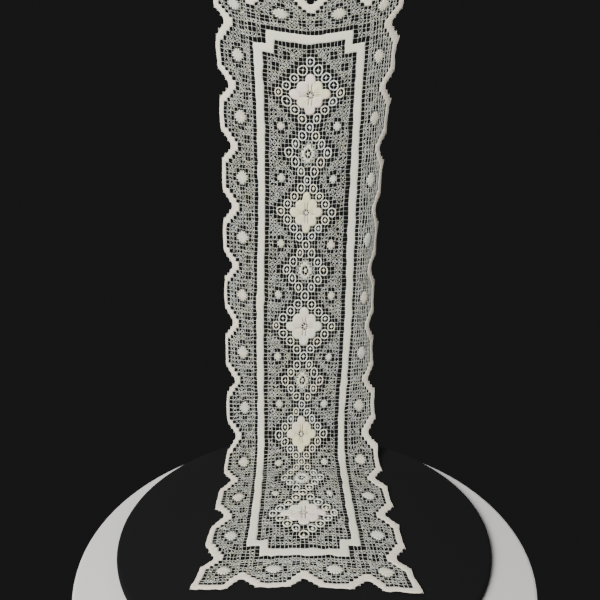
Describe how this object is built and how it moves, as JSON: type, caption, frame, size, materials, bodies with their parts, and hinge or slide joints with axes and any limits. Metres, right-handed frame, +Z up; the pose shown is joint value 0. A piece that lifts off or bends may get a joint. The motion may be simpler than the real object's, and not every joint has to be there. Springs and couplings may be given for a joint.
{
  "type": "filet lace table runner",
  "caption": "Scalloped filet lace table runner hung by its top edge, with its lower end swept forward and lying flat.",
  "frame": {"origin": "middle of the runner's top edge, from which it hangs", "axes": "+Z up along the hanging length, +X to the viewer's right across the runner, -Y towards the viewer, the way the lying end runs"},
  "size_m": [0.3131, 0.4253, 0.7954],
  "materials": {
    "cotton_thread": "matt ivory cotton thread, knotted and darned"
  },
  "bodies": {
    "root": {"lace_runner": "cotton_thread"}
  },
  "joints": []
}
